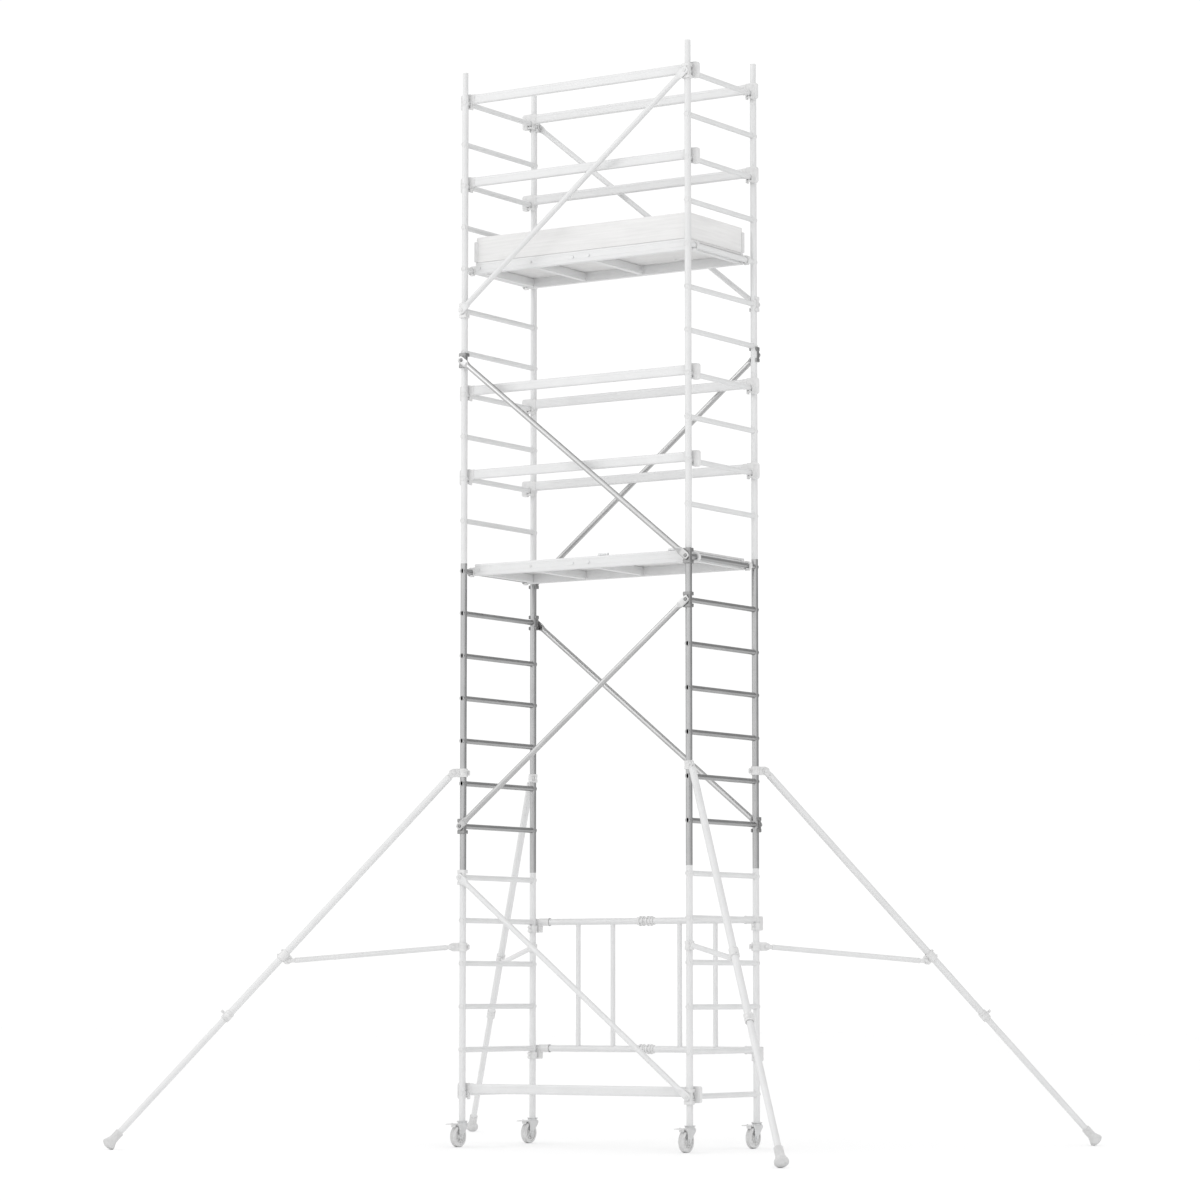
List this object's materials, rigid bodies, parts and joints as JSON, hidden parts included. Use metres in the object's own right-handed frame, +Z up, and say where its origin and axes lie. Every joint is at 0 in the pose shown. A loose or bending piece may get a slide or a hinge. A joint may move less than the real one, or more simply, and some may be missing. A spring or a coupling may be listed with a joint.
{
  "type": "mobile tower scaffold",
  "caption": "Tall aluminium access tower on braked castors, with ladder frames, diagonal braces, hatch platforms, guard rails, toeboards and splayed telescopic stabilisers.",
  "frame": {"origin": "on the floor, in the middle of the four posts", "axes": "+X along the bay to the right-hand frames, +Y to the rear, where the gate is, +Z up"},
  "size_m": [4.5202, 3.6952, 6.338],
  "materials": {
    "frame_tube": "satin extruded tube, pale",
    "module_tube": "satin extruded tube, mid grey",
    "guard_rail": "satin extruded profile",
    "platform_frame": "satin extruded profile, cast hooks",
    "gate_tube": "satin extruded tube",
    "gate_fitting": "cast, lightly tumbled",
    "stabiliser_tube": "satin extruded tube",
    "stabiliser_clamp": "cast, lightly tumbled",
    "dark_claw": "dark moulded nylon",
    "pale_claw": "pale moulded nylon",
    "deck_board": "pale film-faced plywood, fine anti-slip texture",
    "toeboard": "pale sealed board",
    "toeboard_clip": "pale moulded nylon",
    "castor_stem": "zinc plated",
    "castor_fork": "zinc plated pressing",
    "castor_hub": "pale moulded nylon",
    "castor_tyre": "non-marking pale grey rubber",
    "castor_pedal": "moulded lever",
    "stabiliser_foot": "non-marking pale grey rubber"
  },
  "bodies": {
    "tower": {"base_beam": "guard_rail", "base_frame_left": "frame_tube", "base_frame_right": "frame_tube", "castor_stems": "castor_stem", "gate_fittings": "gate_fitting", "gate_left_wing": "gate_tube", "gate_right_wing": "gate_tube", "guard_rails_lower": "guard_rail", "guard_rails_upper": "guard_rail", "middle_frame_left": "frame_tube", "middle_frame_right": "frame_tube", "module_brace_claws": "dark_claw", "module_braces": "module_tube", "module_frame_left": "module_tube", "module_frame_right": "module_tube", "platform_lower_deck": "deck_board", "platform_lower_frame": "platform_frame", "platform_upper_deck": "deck_board", "platform_upper_frame": "platform_frame", "rail_claws": "pale_claw", "toeboard_clips": "toeboard_clip", "toeboards": "toeboard", "top_frame_left": "frame_tube", "top_frame_right": "frame_tube", "tower_brace_claws": "pale_claw", "tower_braces": "frame_tube"},
    "castor_front_left_swivel": {"castor_front_left_fork": "castor_fork"},
    "castor_front_left_wheel": {"castor_front_left_hub": "castor_hub", "castor_front_left_tyre": "castor_tyre"},
    "castor_front_left_brake": {"castor_front_left_pedal": "castor_pedal"},
    "castor_front_right_swivel": {"castor_front_right_fork": "castor_fork"},
    "castor_front_right_wheel": {"castor_front_right_hub": "castor_hub", "castor_front_right_tyre": "castor_tyre"},
    "castor_front_right_brake": {"castor_front_right_pedal": "castor_pedal"},
    "castor_rear_left_swivel": {"castor_rear_left_fork": "castor_fork"},
    "castor_rear_left_wheel": {"castor_rear_left_hub": "castor_hub", "castor_rear_left_tyre": "castor_tyre"},
    "castor_rear_left_brake": {"castor_rear_left_pedal": "castor_pedal"},
    "castor_rear_right_swivel": {"castor_rear_right_fork": "castor_fork"},
    "castor_rear_right_wheel": {"castor_rear_right_hub": "castor_hub", "castor_rear_right_tyre": "castor_tyre"},
    "castor_rear_right_brake": {"castor_rear_right_pedal": "castor_pedal"},
    "stabiliser_front_left": {"stabiliser_front_left_tube": "stabiliser_tube", "stabiliser_front_left_clamps": "stabiliser_clamp"},
    "stabiliser_front_left_extension": {"stabiliser_front_left_leg": "stabiliser_tube", "stabiliser_front_left_foot": "stabiliser_foot"},
    "stabiliser_front_right": {"stabiliser_front_right_tube": "stabiliser_tube", "stabiliser_front_right_clamps": "stabiliser_clamp"},
    "stabiliser_front_right_extension": {"stabiliser_front_right_leg": "stabiliser_tube", "stabiliser_front_right_foot": "stabiliser_foot"},
    "stabiliser_rear_left": {"stabiliser_rear_left_tube": "stabiliser_tube", "stabiliser_rear_left_clamps": "stabiliser_clamp"},
    "stabiliser_rear_left_extension": {"stabiliser_rear_left_leg": "stabiliser_tube", "stabiliser_rear_left_foot": "stabiliser_foot"},
    "stabiliser_rear_right": {"stabiliser_rear_right_tube": "stabiliser_tube", "stabiliser_rear_right_clamps": "stabiliser_clamp"},
    "stabiliser_rear_right_extension": {"stabiliser_rear_right_leg": "stabiliser_tube", "stabiliser_rear_right_foot": "stabiliser_foot"},
    "hatch_lower": {"platform_lower_hatch": "deck_board"},
    "hatch_upper": {"platform_upper_hatch": "deck_board"}
  },
  "joints": [
    {"name": "castor_front_left_swivels", "type": "hinge", "parent": "tower", "child": "castor_front_left_swivel", "pos_m": [-0.7775, -0.365, 0.134], "axis": [0, 0, 1], "continuous": true},
    {"name": "castor_front_left_rolls", "type": "hinge", "parent": "castor_front_left_swivel", "child": "castor_front_left_wheel", "pos_m": [-0.7775, -0.405, 0.0625], "axis": [1, 0, 0], "continuous": true},
    {"name": "castor_front_left_brake_presses", "type": "hinge", "parent": "castor_front_left_swivel", "child": "castor_front_left_brake", "pos_m": [-0.7775, -0.433, 0.131], "axis": [1, 0, 0], "range_deg": [0, 10]},
    {"name": "castor_front_right_swivels", "type": "hinge", "parent": "tower", "child": "castor_front_right_swivel", "pos_m": [0.7775, -0.365, 0.134], "axis": [0, 0, 1], "continuous": true},
    {"name": "castor_front_right_rolls", "type": "hinge", "parent": "castor_front_right_swivel", "child": "castor_front_right_wheel", "pos_m": [0.7775, -0.405, 0.0625], "axis": [1, 0, 0], "continuous": true},
    {"name": "castor_front_right_brake_presses", "type": "hinge", "parent": "castor_front_right_swivel", "child": "castor_front_right_brake", "pos_m": [0.7775, -0.433, 0.131], "axis": [1, 0, 0], "range_deg": [0, 10]},
    {"name": "castor_rear_left_swivels", "type": "hinge", "parent": "tower", "child": "castor_rear_left_swivel", "pos_m": [-0.7775, 0.365, 0.134], "axis": [0, 0, 1], "continuous": true},
    {"name": "castor_rear_left_rolls", "type": "hinge", "parent": "castor_rear_left_swivel", "child": "castor_rear_left_wheel", "pos_m": [-0.7775, 0.325, 0.0625], "axis": [1, 0, 0], "continuous": true},
    {"name": "castor_rear_left_brake_presses", "type": "hinge", "parent": "castor_rear_left_swivel", "child": "castor_rear_left_brake", "pos_m": [-0.7775, 0.297, 0.131], "axis": [1, 0, 0], "range_deg": [0, 10]},
    {"name": "castor_rear_right_swivels", "type": "hinge", "parent": "tower", "child": "castor_rear_right_swivel", "pos_m": [0.7775, 0.365, 0.134], "axis": [0, 0, 1], "continuous": true},
    {"name": "castor_rear_right_rolls", "type": "hinge", "parent": "castor_rear_right_swivel", "child": "castor_rear_right_wheel", "pos_m": [0.7775, 0.325, 0.0625], "axis": [1, 0, 0], "continuous": true},
    {"name": "castor_rear_right_brake_presses", "type": "hinge", "parent": "castor_rear_right_swivel", "child": "castor_rear_right_brake", "pos_m": [0.7775, 0.297, 0.131], "axis": [1, 0, 0], "range_deg": [0, 10]},
    {"name": "stabiliser_front_left_swings", "type": "hinge", "parent": "tower", "child": "stabiliser_front_left", "pos_m": [-0.7775, -0.365, 2.17], "axis": [0, 0, 1], "range_deg": [-45, 45]},
    {"name": "stabiliser_front_left_retracts", "type": "slide", "parent": "stabiliser_front_left", "child": "stabiliser_front_left_extension", "axis": [0.4809, 0.4809, 0.7331], "range_m": [0, 0.8]},
    {"name": "stabiliser_front_right_swings", "type": "hinge", "parent": "tower", "child": "stabiliser_front_right", "pos_m": [0.7775, -0.365, 2.17], "axis": [0, 0, 1], "range_deg": [-45, 45]},
    {"name": "stabiliser_front_right_retracts", "type": "slide", "parent": "stabiliser_front_right", "child": "stabiliser_front_right_extension", "axis": [-0.4809, 0.4809, 0.7331], "range_m": [0, 0.8]},
    {"name": "stabiliser_rear_left_swings", "type": "hinge", "parent": "tower", "child": "stabiliser_rear_left", "pos_m": [-0.7775, 0.365, 2.17], "axis": [0, 0, 1], "range_deg": [-45, 45]},
    {"name": "stabiliser_rear_left_retracts", "type": "slide", "parent": "stabiliser_rear_left", "child": "stabiliser_rear_left_extension", "axis": [0.4809, -0.4809, 0.7331], "range_m": [0, 0.8]},
    {"name": "stabiliser_rear_right_swings", "type": "hinge", "parent": "tower", "child": "stabiliser_rear_right", "pos_m": [0.7775, 0.365, 2.17], "axis": [0, 0, 1], "range_deg": [-45, 45]},
    {"name": "stabiliser_rear_right_retracts", "type": "slide", "parent": "stabiliser_rear_right", "child": "stabiliser_rear_right_extension", "axis": [-0.4809, -0.4809, 0.7331], "range_m": [0, 0.8]},
    {"name": "hatch_lower_opens", "type": "hinge", "parent": "tower", "child": "hatch_lower", "pos_m": [0.3875, -0.285, 3.41035], "axis": [1, 0, 0], "range_deg": [0, 92]},
    {"name": "hatch_upper_opens", "type": "hinge", "parent": "tower", "child": "hatch_upper", "pos_m": [0.3875, -0.285, 5.20835], "axis": [1, 0, 0], "range_deg": [0, 92]}
  ]
}
